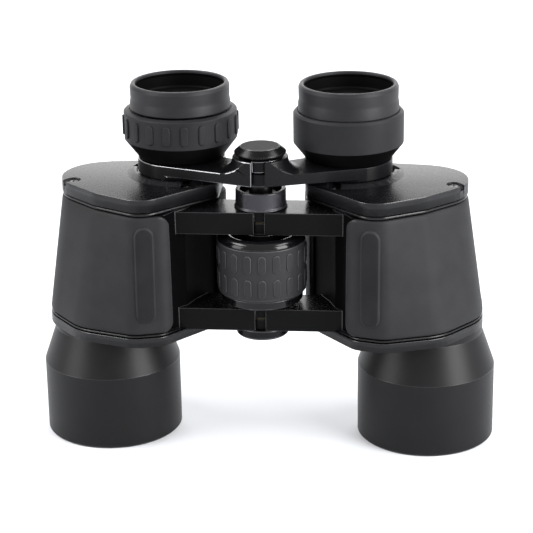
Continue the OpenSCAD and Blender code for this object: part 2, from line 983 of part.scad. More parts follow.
// The screw that the wheel drives, fixed to the bridge
module focus_rod() {
    color("#8c8c88")
        placed() {
            disc(rod_r, rod_low_z, bridge_arm[1] + 0.2);
            disc(7, bridge_arm[0] - 0.9, bridge_arm[0] - 0.1);
        }
}

grip_seat_r = 14.6;
grip_z = [65, 85.2];

module focus_wheel() {
    hub_r = 7.4;
    web = [71, 78];
    rim_in = 12.4;
    r = wheel_d / 2;
    crown = [for (a = [0:15:105]) [r - 1.9 + 1.6 * cos(a), grip_z[1] + 0.2 + 1.6 * sin(a)]];
    color("#161618")
        placed()
            rotate_extrude()
                polygon(concat(
                    [
                        [rod_r + rod_slack, 61.4], [hub_r, 61.4], [hub_r, web[0]], [rim_in, web[0]],
                        [rim_in, 62.2], [13, 61.6], [14.6, 61.6], [15.2, 62.2],
                        [15.5, grip_z[0]], [grip_seat_r, grip_z[0]],
                        [grip_seat_r, grip_z[1]], [r - 0.3, grip_z[1]]
                    ],
                    crown,
                    [[rim_in, 86.4], [rim_in, web[1]], [hub_r, web[1]], [hub_r, 88.4],
                     [rod_r + rod_slack, 88.4]]
                ));
}

// Rubber sleeve with two rows of ribs
module wheel_grip() {
    r = wheel_d / 2;
    rows = [[67.1, 74.1], [76.4, 83.4]];
    color("#3c3c3f")
        placed() {
            rotate_extrude()
                polygon([
                    [grip_seat_r, grip_z[0]], [r - 0.8, grip_z[0]], [r, grip_z[0] + 1],
                    [r, grip_z[1]], [grip_seat_r, grip_z[1]]
                ]);
            for (row = rows)
                ribs(wheel_ribs, r, row[0], row[1], 2.8, 0.4, 5.6);
        }
}

module hinge_cap() {
    low = bridge_arm[1] + 0.2;
    color("#1b1b1d")
        placed()
            rotate_extrude()
                polygon([
                    [0, low], [7.4, low], [9.2, low + 0.6], [9.6, low + 1.1], [9.4, low + 1.7],
                    [8.4, low + 2.9], [7.6, low + 3.5], [7.1, low + 3.6], [7.1, low + 3], [0, low + 3]
                ]);
}

module cap_disc() {
    low = bridge_arm[1] + 3.2;
    color("#707074")
        placed()
            disc(7, low, low + 0.7);
}

housing_left();
housing_right();
armour_left();
armour_right();
eyepiece_cover_left();
eyepiece_cover_right();
cover_screws_left();
cover_screws_right();
objective_cover_left();
objective_cover_right();
objective_cover_screws_left();
objective_cover_screws_right();
objective_barrel_left();
objective_barrel_right();
objective_cell_left();
objective_cell_right();
crown_lens_left();
crown_lens_right();
flint_lens_left();
flint_lens_right();
solar_filter_left();
solar_filter_right();
filter_ring_left();
filter_ring_right();
prism_shelf_left();
prism_shelf_right();
prism_upper_left();
prism_upper_right();
prism_lower_left();
prism_lower_right();
prism_clips_left();
prism_clips_right();
tube_seal_left();
tube_seal_right();
bridge_arm_left();
bridge_arm_right();
eyepiece_tube_left();
eyepiece_tube_right();
ocular_barrel_left();
ocular_barrel_right();
field_lens_left();
field_lens_right();
eye_lens_left();
eye_lens_right();
eyecup_left();
eyecup_right();
dioptre_ring();
ocular_collar();
upper_pivot();
collar_nut();
lower_pivot();
tripod_cap();
hinge_washers();
focus_rod();
focus_wheel();
wheel_grip();
hinge_cap();
cap_disc();
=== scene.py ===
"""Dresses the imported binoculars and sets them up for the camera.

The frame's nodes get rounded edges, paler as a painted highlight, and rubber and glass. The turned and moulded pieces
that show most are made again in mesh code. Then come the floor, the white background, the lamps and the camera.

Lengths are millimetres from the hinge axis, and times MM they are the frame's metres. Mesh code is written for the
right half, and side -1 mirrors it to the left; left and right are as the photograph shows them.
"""

import functools
import json
import math
import bmesh
import bpy
from mathutils import Matrix, Vector


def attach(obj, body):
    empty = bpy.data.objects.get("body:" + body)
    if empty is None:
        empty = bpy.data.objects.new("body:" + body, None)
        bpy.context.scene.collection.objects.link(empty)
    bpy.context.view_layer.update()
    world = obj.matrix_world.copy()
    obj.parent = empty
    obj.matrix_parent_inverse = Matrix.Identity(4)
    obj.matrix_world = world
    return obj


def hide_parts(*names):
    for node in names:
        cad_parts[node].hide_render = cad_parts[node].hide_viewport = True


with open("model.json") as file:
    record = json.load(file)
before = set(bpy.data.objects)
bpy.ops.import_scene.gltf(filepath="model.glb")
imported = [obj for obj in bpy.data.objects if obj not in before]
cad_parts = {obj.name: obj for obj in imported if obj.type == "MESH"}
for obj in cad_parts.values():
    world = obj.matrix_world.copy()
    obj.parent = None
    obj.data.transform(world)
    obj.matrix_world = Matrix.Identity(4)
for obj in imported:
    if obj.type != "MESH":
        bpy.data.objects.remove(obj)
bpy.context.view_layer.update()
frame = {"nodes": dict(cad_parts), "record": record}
NODES = frame["nodes"]

MM = 0.001
HINGE_Y = -11.96 * MM  # the hinge axis in the frame
SCENE = bpy.context.scene
BODY_OF = {node: body for body, nodes in frame["record"]["behaviour"]["bodies"].items() for node in nodes}
SLOT_OF = {part["node"]: part["material_slot"] for part in frame["record"]["subparts"]}
SIDES = ((-1, "left"), (1, "right"))
UPWARD = 0.95  # a face whose normal has more than this of z looks up


# ---------- camera ----------

PHOTO = 533.0  # the photograph's side in pixels
FOCAL = 1843.32  # the lens, in the same pixels
CENTRE = (267.79, 266.50)  # the pixel that the lens points at
SENSOR = 36.0
DISTANCE = 691.06 * MM
PITCH, ROLL, YAW = math.radians(19.87), math.radians(-0.88), math.radians(-5.33)
AIM = Vector((2.19 * MM, HINGE_Y, 73.82 * MM))


def add_camera():
    """Puts the camera where the photograph was taken from, and shifts it to the photograph's framing."""
    look = Vector((math.sin(YAW) * math.cos(PITCH), math.cos(YAW) * math.cos(PITCH), -math.sin(PITCH)))
    level = Vector((math.cos(YAW), -math.sin(YAW), 0.0))
    upright = level.cross(look)
    across = level * math.cos(ROLL) + upright * math.sin(ROLL)
    up = upright * math.cos(ROLL) - level * math.sin(ROLL)
    place = AIM - look * DISTANCE
    data = bpy.data.cameras.new("camera")
    data.sensor_width = SENSOR
    data.lens = FOCAL * SENSOR / PHOTO
    data.shift_x = (PHOTO / 2 - CENTRE[0]) / PHOTO
    data.shift_y = (CENTRE[1] - PHOTO / 2) / PHOTO
    data.clip_start, data.clip_end = 0.05, 20.0
    camera = bpy.data.objects.new("camera", data)
    SCENE.collection.objects.link(camera)
    pose = Matrix.Identity(4)
    for row in range(3):
        pose[row] = (across[row], up[row], -look[row], place[row])
    camera.matrix_world = pose
    SCENE.camera = camera


# ---------- materials ----------

CLOUD_MM = 9.0  # size of the slow changes of tint
TINT_CHANGE = 0.15
SMEAR_MM = 6.0
GLASS_ROUGH, GLASS_SMEAR, GLASS_INDEX = 0.02, 0.03, 1.52
DOME_MIDDLE = 14 * MM  # how far behind the hinge axis a cover is highest
DOME_FALL = 1000.0  # millimetres that it falls for each square metre from there


def new_material(name):
    """A material with its node tree, its shader and the object's own coordinates."""
    material = bpy.data.materials.new(name)
    material.use_nodes = True
    tree = material.node_tree
    shader = tree.nodes["Principled BSDF"]
    place = tree.nodes.new("ShaderNodeTexCoord")
    return material, tree, shader, place.outputs["Object"]


def noise(tree, place, size_mm, detail=2.0, stretch=None):
    """A noise texture whose lumps are about size_mm across."""
    node = tree.nodes.new("ShaderNodeTexNoise")
    node.inputs["Scale"].default_value = 1000.0 / size_mm
    node.inputs["Detail"].default_value = detail
    if stretch:
        mapping = tree.nodes.new("ShaderNodeMapping")
        mapping.inputs["Scale"].default_value = stretch
        tree.links.new(place, mapping.inputs["Vector"])
        place = mapping.outputs["Vector"]
    tree.links.new(place, node.inputs["Vector"])
    return node.outputs["Fac"]


def spread(tree, value, low, high, start=0.3, end=0.7):
    """Maps start..end onto low..high; 0.3..0.7 is the middle of a noise."""
    node = tree.nodes.new("ShaderNodeMapRange")
    for name, number in (("From Min", start), ("From Max", end), ("To Min", low), ("To Max", high)):
        node.inputs[name].default_value = number
    tree.links.new(value, node.inputs["Value"])
    return node.outputs["Result"]


def computed(tree, operation, first, second):
    """A Math node's result for the socket first and second, which is a number or a socket."""
    node = tree.nodes.new("ShaderNodeMath")
    node.operation = operation
    tree.links.new(first, node.inputs[0])
    if isinstance(second, float):
        node.inputs[1].default_value = second
    else:
        tree.links.new(second, node.inputs[1])
    return node.outputs["Value"]


def tinted(tree, value, colour, change):
    """The colour, darker and lighter by the share change as value goes from 0 to 1."""
    node = tree.nodes.new("ShaderNodeMix")
    node.data_type = "RGBA"
    node.inputs["A"].default_value = [c * (1 - change) for c in colour] + [1.0]
    node.inputs["B"].default_value = [c * (1 + change) for c in colour] + [1.0]
    tree.links.new(value, node.inputs["Factor"])
    return node.outputs["Result"]


def bumped(tree, value, depth_mm, strength, under=None):
    """The normal of value as a height of depth_mm, on top of the normal under."""
    node = tree.nodes.new("ShaderNodeBump")
    node.inputs["Distance"].default_value = depth_mm * MM
    node.inputs["Strength"].default_value = strength
    tree.links.new(value, node.inputs["Height"])
    if under is not None:
        tree.links.new(under, node.inputs["Normal"])
    return node.outputs["Normal"]


def crowned(tree, place):
    """The height in millimetres of a cover's slight dome, which falls away to the front and back."""
    split = tree.nodes.new("ShaderNodeSeparateXYZ")
    tree.links.new(place, split.inputs["Vector"])
    away = computed(tree, "SUBTRACT", split.outputs["Y"], HINGE_Y + DOME_MIDDLE)
    return computed(tree, "MULTIPLY", computed(tree, "POWER", away, 2.0), -DOME_FALL)


def finish(name, colour, rough, metal=0.0, specular=0.5, grain_mm=0.4, depth_mm=0.02, bump=0.5,
           rough_change=0.06, coat=0.0, stretch=None, dome=False):
    """An opaque finish: grain in the bump, slow changes of tint and roughness."""
    material, tree, shader, place = new_material(name)
    grain = noise(tree, place, grain_mm, 3.0, stretch)
    cloud = noise(tree, place, CLOUD_MM)
    tree.links.new(tinted(tree, spread(tree, cloud, 0, 1), colour, TINT_CHANGE), shader.inputs["Base Color"])
    tree.links.new(spread(tree, grain, rough - rough_change, rough + rough_change), shader.inputs["Roughness"])
    under = bumped(tree, crowned(tree, place), 1.0, 1.0) if dome else None
    tree.links.new(bumped(tree, grain, depth_mm, bump, under), shader.inputs["Normal"])
    shader.inputs["Metallic"].default_value = metal
    shader.inputs["Specular IOR Level"].default_value = specular
    shader.inputs["Coat Weight"].default_value = coat
    return material


def glass(name, colour, coat=0.0):
    """Clear glass with a faint smear."""
    material, tree, shader, place = new_material(name)
    smear = noise(tree, place, SMEAR_MM)
    tree.links.new(spread(tree, smear, GLASS_ROUGH, GLASS_ROUGH + GLASS_SMEAR), shader.inputs["Roughness"])
    tree.links.new(tinted(tree, smear, colour, 0.1), shader.inputs["Base Color"])
    shader.inputs["Transmission Weight"].default_value = 1.0
    shader.inputs["IOR"].default_value = GLASS_INDEX
    shader.inputs["Coat Weight"].default_value = coat
    return material


# Every opaque slot's finish. The colours are linear, and darker than the paint and rubber are by themselves, because
# every shine adds some of the white background.
LOOKS = {
    "casting": dict(colour=(0.00195, 0.00195, 0.00221), rough=0.42, specular=0.08, grain_mm=0.5),
    "armour_rubber": dict(colour=(0.0184, 0.0184, 0.02), rough=0.56, specular=0.15, grain_mm=0.35),
    "cover_black": dict(colour=(0.0078, 0.0078, 0.00923), rough=0.4, specular=0.25, grain_mm=0.6, depth_mm=0.004),
    "screw_steel": dict(colour=(0.112, 0.112, 0.1155), rough=0.3, metal=1.0, grain_mm=0.3),
    "barrel_black": dict(colour=(0.0052, 0.0052, 0.00585), rough=0.42, specular=0.19, grain_mm=0.35, depth_mm=0.01),
    "cell_black": dict(colour=(0.00325, 0.00325, 0.00358), rough=0.6, specular=0.1),
    "filter_glass": dict(colour=(0.0078, 0.0065, 0.0117), rough=0.12, specular=0.35, bump=0.05, coat=0.6),
    "shelf_plate": dict(colour=(0.013, 0.013, 0.01365), rough=0.6, specular=0.25),
    "spring_steel": dict(colour=(0.294, 0.294, 0.28), rough=0.32, metal=1.0, stretch=(1, 0.1, 1)),
    "felt": dict(colour=(0.0052, 0.0052, 0.0052), rough=0.95, specular=0.05, grain_mm=0.25, depth_mm=0.1, bump=1.0),
    "bridge_black": dict(colour=(0.00325, 0.00325, 0.0039), rough=0.32, specular=0.125, grain_mm=0.6, depth_mm=0.005),
    "tube_black": dict(colour=(0.0052, 0.0052, 0.00585), rough=0.35, specular=0.15),
    "ocular_black": dict(colour=(0.00195, 0.00195, 0.00215), rough=0.6, specular=0.05),
    "eyecup_rubber": dict(colour=(0.0168, 0.0168, 0.0188), rough=0.46, specular=0.17, grain_mm=0.3),
    "ring_rubber": dict(colour=(0.0168, 0.0168, 0.0188), rough=0.52, specular=0.12, grain_mm=0.3),
    "pivot_steel": dict(colour=(0.035, 0.035, 0.035), rough=0.3, metal=1.0, stretch=(1, 1, 12)),
    "collar_gloss": dict(colour=(0.035, 0.035, 0.0406), rough=0.2, metal=0.8, depth_mm=0.06, bump=1.0,
                         stretch=(1, 1, 16)),
    "cap_plastic": dict(colour=(0.00325, 0.00325, 0.0039), rough=0.26, specular=0.15, depth_mm=0.004, bump=0.2),
    "washer_brass": dict(colour=(0.035, 0.028, 0.0154), rough=0.4, metal=1.0),
    "wheel_black": dict(colour=(0.00325, 0.00325, 0.0039), rough=0.14, specular=0.25, bump=0.05),
    "grip_rubber": dict(colour=(0.0272, 0.0272, 0.0296), rough=0.5, specular=0.125, grain_mm=0.3),
    "cap_black": dict(colour=(0.0026, 0.0026, 0.00293), rough=0.26, specular=0.125, grain_mm=0.5, depth_mm=0.004),
    "cap_grey": dict(colour=(0.01105, 0.01105, 0.01157), rough=0.55, specular=0.05, grain_mm=0.3),
}
FINISH = {slot: finish(slot, **look) for slot, look in LOOKS.items()}
FINISH["coated_glass"] = glass("coated_glass", (0.75, 0.82, 0.86), coat=0.5)
FINISH["prism_glass"] = glass("prism_glass", (0.86, 0.9, 0.92))

# Rounded edges: smoother than the faces beside them, and a little paler as a painted highlight along them
PAINT_EDGE_HIGHLIGHT = finish("paint_edge_highlight", (0.0143, 0.0143, 0.0156), 0.26, specular=0.5, grain_mm=0.5, depth_mm=0.005)
RUBBER_EDGE_HIGHLIGHT = finish("rubber_edge_highlight", (0.048, 0.048, 0.0512), 0.4, specular=0.25, grain_mm=0.35, depth_mm=0.01)
ARMOUR_EDGE_HIGHLIGHT = finish("armour_edge_highlight", (0.026, 0.026, 0.02795), 0.42, specular=0.2, grain_mm=0.35, depth_mm=0.01)
# bright metal for the left bridge arm's edges, a painted highlight
METAL_EDGE_HIGHLIGHT = finish("bare_edge", (0.21, 0.21, 0.217), 0.24, metal=1.0, grain_mm=0.5, depth_mm=0.004)

# The slots whose remade pieces have their own edge in place of the paint's paler one; the grip's rubber edge is paler
# too, a painted highlight
EDGE_OF_SLOT = {"eyecup_rubber": FINISH["eyecup_rubber"], "ring_rubber": FINISH["ring_rubber"],
                "grip_rubber": RUBBER_EDGE_HIGHLIGHT}

BEAD = finish("bead_black", (0.0052, 0.0052, 0.00585), 0.24, specular=0.3, grain_mm=0.6, depth_mm=0.003)
PAD = finish("pad_rubber", (0.016, 0.016, 0.018), 0.5, specular=0.08, grain_mm=0.35, depth_mm=0.03)

# The left arm's edges are bright metal, a painted highlight, and the right one's are painted like its faces
EDGE_OF_NODE = {"bridge_arm_left": METAL_EDGE_HIGHLIGHT, "bridge_arm_right": FINISH["bridge_black"]}

# Upward faces that are smoother than the sides below them; the castings' tops are painted lighter, a painted
# highlight, and the covers' tops darker, a painted shade
PAINTED_LIGHT_TOPS = {
    "casting": finish("casting_top_painted_light", (0.0039, 0.0039, 0.00455), 0.24, specular=0.3, grain_mm=0.6, depth_mm=0.0015),
    "cover_black": finish("cover_top_painted_shade", (0.0026, 0.0026, 0.00325), 0.27, specular=0.165, grain_mm=0.6,
                          depth_mm=0.0015, rough_change=0.03, dome=True),
}

# The castings' flanks that face each other: a painted shade, darker than the same paint elsewhere, because the white
# background lights this gap more than it was lit in the photograph
PAINTED_SHADE_FLANK = finish("casting_flank_painted_shade", (0.00098, 0.00098, 0.00117), 0.6, specular=0.025, grain_mm=0.5)


# ---------- pieces made in mesh code ----------

EYE = (31.6, 18.3)  # the right eyepiece's axis
OBJECTIVE = (61.7, 19.4)  # the right objective's axis
ON_AXIS = 1e-6  # a smaller radius is a point on the lathe's axis
SMOOTH_TURN = math.radians(14)  # a profile's corner that turns less than this stays as it is
REMADE = set()  # the nodes that a piece stands in for


def edge_of(slot):
    """The second material of a slot's pieces, for rounded edges."""
    return EDGE_OF_SLOT.get(slot, PAINT_EDGE_HIGHLIGHT)


def add_piece(name, node, verts, faces, side=1, material=None, edges=(), edge=None):
    """Builds a smooth mesh from millimetre points; the first piece of a node stands in for the node."""
    mesh = bpy.data.meshes.new(name)
    mesh.from_pydata([(side * x * MM, HINGE_Y + y * MM, z * MM) for x, y, z in verts], [], faces)
    for polygon in mesh.polygons:
        polygon.use_smooth = True
    # rounded faces take the second material, which for most slots is paler, a painted highlight
    for index in edges:
        mesh.polygons[index].material_index = 1
    form = bmesh.new()
    form.from_mesh(mesh)
    bmesh.ops.recalc_face_normals(form, faces=form.faces)
    form.to_mesh(mesh)
    form.free()
    mesh.materials.append(material or FINISH[SLOT_OF[node]])
    mesh.materials.append(edge or edge_of(SLOT_OF[node]))
    piece = bpy.data.objects.new(name, mesh)
    SCENE.collection.objects.link(piece)
    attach(piece, BODY_OF[node])
    if node not in REMADE:
        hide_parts(node)
        REMADE.add(node)
    return piece


def rounded(profile, radius, steps=4):
    """The closed profile with each real corner turned into an arc, held by a point on either side of it.

    Its points are (radius, height, whether the face that ends there is part of an arc).
    """
    out = []
    for i, (r, z) in enumerate(profile):
        a, b = Vector(profile[i - 1]), Vector(profile[(i + 1) % len(profile)])
        here = Vector((r, z))
        to_a, to_b = a - here, b - here
        turn = math.pi - to_a.angle(to_b)
        if r < ON_AXIS or turn < SMOOTH_TURN:
            out.append((r, z, False))
            continue
        # short sides keep a straight between their arcs
        reach = min(radius * math.tan(turn / 2), 0.4 * to_a.length, 0.4 * to_b.length)
        hold = min(0.1, 0.09 * to_a.length, 0.09 * to_b.length)
        start, end = here + to_a.normalized() * reach, here + to_b.normalized() * reach
        before, after = start + to_a.normalized() * hold, end + to_b.normalized() * hold
        out.append((before.x, before.y, False))
        for k in range(steps + 1):
            t = k / steps
            point = start * (1 - t) ** 2 + here * (2 * t * (1 - t)) + end * t ** 2
            out.append((point.x, point.y, k > 0))
        out.append((after.x, after.y, False))
    return out


def lathe(profile, centre, segments=144):
    """Points, faces and rounded faces of a closed profile turned about the upright line at centre."""
    verts, rings, faces, edges = [], [], [], []
    for r, z, _ in profile:
        if r < ON_AXIS:
            rings.append([len(verts)])
            verts.append((centre[0], centre[1], z))
            continue
        rings.append(list(range(len(verts), len(verts) + segments)))
        for k in range(segments):
            a = 2 * math.pi * k / segments
            verts.append((centre[0] + r * math.cos(a), centre[1] + r * math.sin(a), z))
    for i in range(len(rings)):
        low, high = rings[i], rings[(i + 1) % len(rings)]
        if len(low) == 1 and len(high) == 1:
            continue
        if profile[(i + 1) % len(rings)][2]:
            edges += range(len(faces), len(faces) + segments)
        for k in range(segments):
            j = (k + 1) % segments
            if len(low) == 1:
                faces.append((low[0], high[j], high[k]))
            elif len(high) == 1:
                faces.append((low[k], low[j], high[0]))
            else:
                faces.append((low[k], low[j], high[j], high[k]))
    return verts, faces, edges


def upright(z0, z1, half, arc, line=1):
    """The outline of an upright oblong with round ends of the radius half.

    Its points are (across, height, up): across and up are shares of the radius, counted from that height on the
    middle line, so that the outline can be made smaller later.
    """
    span = z1 - z0 - 2 * half
    turns = [math.pi * k / arc for k in range(arc + 1)]
    out = [(math.cos(a), z1 - half, math.sin(a)) for a in turns]
    out += [(-1.0, z1 - half - span * k / line, 0.0) for k in range(1, line)]
    out += [(-math.cos(a), z0 + half, -math.sin(a)) for a in turns]
    return out + [(1.0, z0 + half + span * k / line, 0.0) for k in range(1, line)]


def stacked(count, levels):
    """The faces of a stack of closed rings of count points each, with its two ends closed."""
    faces = []
    for i in range(levels - 1):
        for k in range(count):
            j = (k + 1) % count
            faces.append((i * count + k, i * count + j, (i + 1) * count + j, (i + 1) * count + k))
    top = (levels - 1) * count
    faces.append(tuple(range(top, top + count)))
    faces.append(tuple(range(count - 1, -1, -1)))
    return faces


def pill(radius, centre, turn, z0, z1, width, proud, edge):
    """A rounded rib on a drum: rings of a long round-ended outline that shrink as they rise."""
    half = width / 2
    levels = [(0.0, -0.5), (0.0, max(proud - edge, 0.0))]
    levels += [(edge * (1 - math.cos(a)), proud - edge + edge * math.sin(a))
               for a in (math.radians(v) for v in (25, 50, 75, 90))]
    levels.append((half * 0.7, proud))
    outline = upright(z0, z1, half, 8)
    verts = []
    for inset, rise in levels:
        for across, middle, up in outline:
            a = turn + (half - inset) * across / radius
            r = radius + rise
            verts.append((centre[0] + r * math.sin(a), centre[1] - r * math.cos(a), middle + (half - inset) * up))
    count = len(outline)
    return verts, stacked(count, len(levels)), list(range(count, 4 * count))


def joined(parts):
    """Several forms, each of points, faces and rounded faces, as one."""
    verts, faces, edges = [], [], []
    for more, polygons, marked in parts:
        start, first = len(verts), len(faces)
        verts += more
        faces += [tuple(i + start for i in polygon) for polygon in polygons]
        edges += [i + first for i in marked]
    return verts, faces, edges


def add_form(name, node, form, side=1):
    """A piece from its points, faces and rounded faces."""
    verts, faces, edges = form
    return add_piece(name, node, verts, faces, side, edges=edges)


def ring_drum(r, foot, low, chamfer, shoulder, top, bore):
    """Half section of a ring under an eyecup, with a sunk seat that the cup's foot has room in."""
    return [(bore, low), (foot, low), (r, chamfer), (r, shoulder - 0.3), (r - 0.3, shoulder),
            (20.0, top - 0.2), (19.5, top), (19.15, top), (19.15, top - 0.4), (bore, top - 0.4)]


def paint_shade_black(piece, inside):
    """Paints the faces whose middle is inside, as that test says, with the dull black of the ocular tubes, a painted
    shade.
    """
    piece.data.materials.append(FINISH["ocular_black"])
    for polygon in piece.data.polygons:
        if inside(polygon.center):
            polygon.material_index = 2


def add_barrel(side, name):
    """An objective barrel: the hood, the cone up to the cover and the steps for the lens cell inside."""
    barrel = [(25.8, 0), (26.5, 0.7), (26.5, 29), (21.6, 43), (21.6, 48.5), (18.5, 48.5), (18.5, 52), (17.2, 52),
              (17.2, 45), (23.8, 27.5), (23.8, 22), (24.6, 22), (24.6, 0.6), (25.2, 0)]
    form = lathe(rounded(barrel, 0.35), OBJECTIVE, 192)
    add_form("barrel_turned_" + name, "objective_barrel_" + name, form, side)


def add_eyecup(side, name, low):
    """An eyecup whose foot is at the height low; its bore is painted dull black up to just below the lip, a painted
    shade inside the cup.
    """
    bore, lip = 17.05, 139.3
    cup = [(16.6, low), (18.7, low), (18.95, low + 0.3), (18.85, 133), (18.6, 134.2), (18.52, 134.8),
           (18.6, 135.6), (18.66, 139), (18.2, 140.05), (17.7, 140.35), (17.1, 140.35), (16.7, 139.95),
           (16.6, 139.15), (17, 138.35), (17, 134.4), (16.6, 133.8)]
    moulded = add_form("eyecup_moulded_" + name, "eyecup_" + name, lathe(rounded(cup, 0.35), EYE), side)
    axis = Vector((side * EYE[0] * MM, HINGE_Y + EYE[1] * MM))
    paint_shade_black(moulded, lambda middle: (middle.xy - axis).length < bore * MM and middle.z < lip * MM)


def add_rings():
    """The ribbed dioptre ring on the left and the plain collar on the right, with the cones under them painted dull
    black, a painted shade.
    """
    ring_foot, collar_foot = 119.2, 118
    drum = ring_drum(r=21.3, foot=16, low=112.2, chamfer=ring_foot, shoulder=129.8, top=130.3, bore=14.28)
    ribs = [pill(21.3, EYE, math.radians(6.8 + 18 * i), 120.7, 128.3, 2.8, 0.6, 0.4) for i in range(20)]
    ring = add_form("dioptre_ring_moulded", "dioptre_ring", joined([lathe(rounded(drum, 0.3), EYE)] + ribs), -1)
    drum = ring_drum(r=20.7, foot=15.9, low=111.8, chamfer=collar_foot, shoulder=129.4, top=130.1, bore=14.2)
    collar = add_form("ocular_collar_moulded", "ocular_collar", lathe(rounded(drum, 0.3), EYE))
    paint_shade_black(ring, lambda middle: middle.z < ring_foot * MM)
    paint_shade_black(collar, lambda middle: middle.z < collar_foot * MM)


def add_wheel():
    """The focus wheel with its round crown, and the rubber grip with two rows of ribs."""
    crown = [(13.6 + 2.8 * math.cos(a), 85.6 + 2.5 * math.sin(a))
             for a in (math.radians(12 * k) for k in range(13))]
    wheel = [(4.48, 61.4), (7.4, 61.4), (7.4, 71), (12.4, 71), (12.4, 62.2), (13, 61.6), (14.6, 61.6), (15.2, 62.2),
             (15.5, 65), (14.6, 65), (14.6, 85.2), (16.2, 85.2)] + crown
    wheel += [(11.2, 78), (7.4, 78), (7.4, 88.4), (4.48, 88.4)]
    add_form("focus_wheel_turned", "focus_wheel", lathe(rounded(wheel, 0.25), (0, 0)))
    sleeve = lathe(rounded([(14.6, 65), (15.7, 65), (16.5, 66), (16.5, 85.2), (14.6, 85.2)], 0.3), (0, 0))
    ribs = [pill(16.5, (0, 0), math.radians(5.6 + 360 * i / 19), z0, z1, 2.8, 0.4, 0.3)
            for i in range(19) for z0, z1 in ((67.1, 74.1), (76.4, 83.4))]
    add_form("wheel_grip_moulded", "wheel_grip", joined([sleeve] + ribs))


def add_hinge_tops():
    """The bright nut above the upper bridge, and the hinge's cap with the disc in its middle."""
    nut = [(6, 97.98), (9.6, 97.98), (10, 98.28), (9.5, 98.98), (9.4, 104.6), (9.1, 104.9), (8.1, 104.9),
           (7.8, 104.6), (7.8, 99.58), (6, 99.58)]
    add_form("collar_nut_turned", "collar_nut", lathe(rounded(nut, 0.25), (0, 0)))
    cap = [(0, 117.3), (7.4, 117.3), (9.0, 117.9), (9.3, 118.18), (9.52, 118.4), (9.6, 118.7), (9.52, 119.0),
           (9.35, 119.2), (7.35, 120.9), (7.15, 120.9), (7.15, 120.3), (0, 120.3)]
    add_form("hinge_cap_turned", "hinge_cap", lathe(rounded(cap, 0.12), (0, 0)))
    disc = [(0, 120.3), (7.05, 120.3), (7.05, 121.0), (0, 121.0)]
    add_form("cap_disc_turned", "cap_disc", lathe(rounded(disc, 0.2), (0, 0)))


def add_turned():
    """Every piece that is round about an upright axis."""
    for (side, name), cup_low in zip(SIDES, (130.75, 129.95)):
        add_barrel(side, name)
        add_eyecup(side, name, cup_low)
    add_rings()
    add_wheel()
    add_hinge_tops()


# ---------- the rubber armour ----------

ARMOUR_LOW, ARMOUR_HIGH = 53.5, 98.5
SKIN = 1.6  # the rubber's thickness
FRONT_EDGE, BACK_EDGE = -15.0, 12.0  # the y at which the rubber ends, on either side of the wheel's gap
COLUMNS = 300  # points along each course
NEAR_COLUMNS, NEAR_MM = 30, 6.0  # and how many of them are in the first millimetres, where the corners are round
GRID = 4  # worked-out courses for each millimetre of height; the others lie between two of them
EDGE_RADIUS = 0.9
CORNER = 5.0  # radius of the front corners
HIGHLIGHT_COLUMNS, CORNER_COLUMNS = 12, 28  # paler columns, a painted highlight: all of the front edge, and the top and foot beside it
BULGE, BULGE_WIDE, BULGE_AT = 0.95, 13, 6.5  # a swelling: its height, its width, and its distance from the back edge

# The circles that the armour is stretched round, (x, y, radius), at its top and at its foot
BODY_HIGH = [(37.4, -12.5, 5.8), (43.5, -10.3, 9), (53, 0, 12.9), (59, 12.5, 17.6), (57.5, 14.5, 16),
             (31.6, 18.3, 15.6)]
BODY_LOW = [(37.4, -13.4, 5.8), (46, -11.5, 10), (57, 1, 18.4), (62.2, 11.5, 20.9), (61.7, 19.4, 21.4),
            (31.6, 18.3, 15.6)]


def band(circles, arc_steps=24, line_steps=10):
    """The line round the outside of a ring of circles, anticlockwise, with its outward normals."""
    def normal(a, b):
        """The normal of the straight that touches both circles."""
        d = Vector((b[0] - a[0], b[1] - a[1]))
        k = (a[2] - b[2]) / d.length
        u = d.normalized()
        return u * k + Vector((u.y, -u.x)) * math.sqrt(1 - k * k)
    out = []
    count = len(circles)
    for i, (x, y, r) in enumerate(circles):
        before = normal(circles[i - 1], circles[i])
        after = normal(circles[i], circles[(i + 1) % count])
        a = math.atan2(before.y, before.x)
        turn = (math.atan2(after.y, after.x) - a) % (2 * math.pi)
        for k in range(arc_steps + 1):
            t = a + turn * k / arc_steps
            n = Vector((math.cos(t), math.sin(t)))
            out.append((Vector((x, y)) + n * r, n))
        other = circles[(i + 1) % count]
        start, end = Vector((x, y)) + after * r, Vector((other[0], other[1])) + after * other[2]
        out += [(start.lerp(end, k / line_steps), after) for k in range(1, line_steps)]
    return out


def body_circles(z):
    """The circles at height z, between those of the foot and the top."""
    t = (z - ARMOUR_LOW) / (ARMOUR_HIGH - ARMOUR_LOW)
    return [tuple(a * (1 - t) + b * t for a, b in zip(low, high)) for low, high in zip(BODY_LOW, BODY_HIGH)]


def spaced(length):
    """Distances along a course, close together at the front edge."""
    far = COLUMNS - NEAR_COLUMNS - 1
    near = [NEAR_MM * (k / NEAR_COLUMNS) ** 2 for k in range(NEAR_COLUMNS)]
    return near + [NEAR_MM + (length - NEAR_MM) * k / far for k in range(far + 1)]


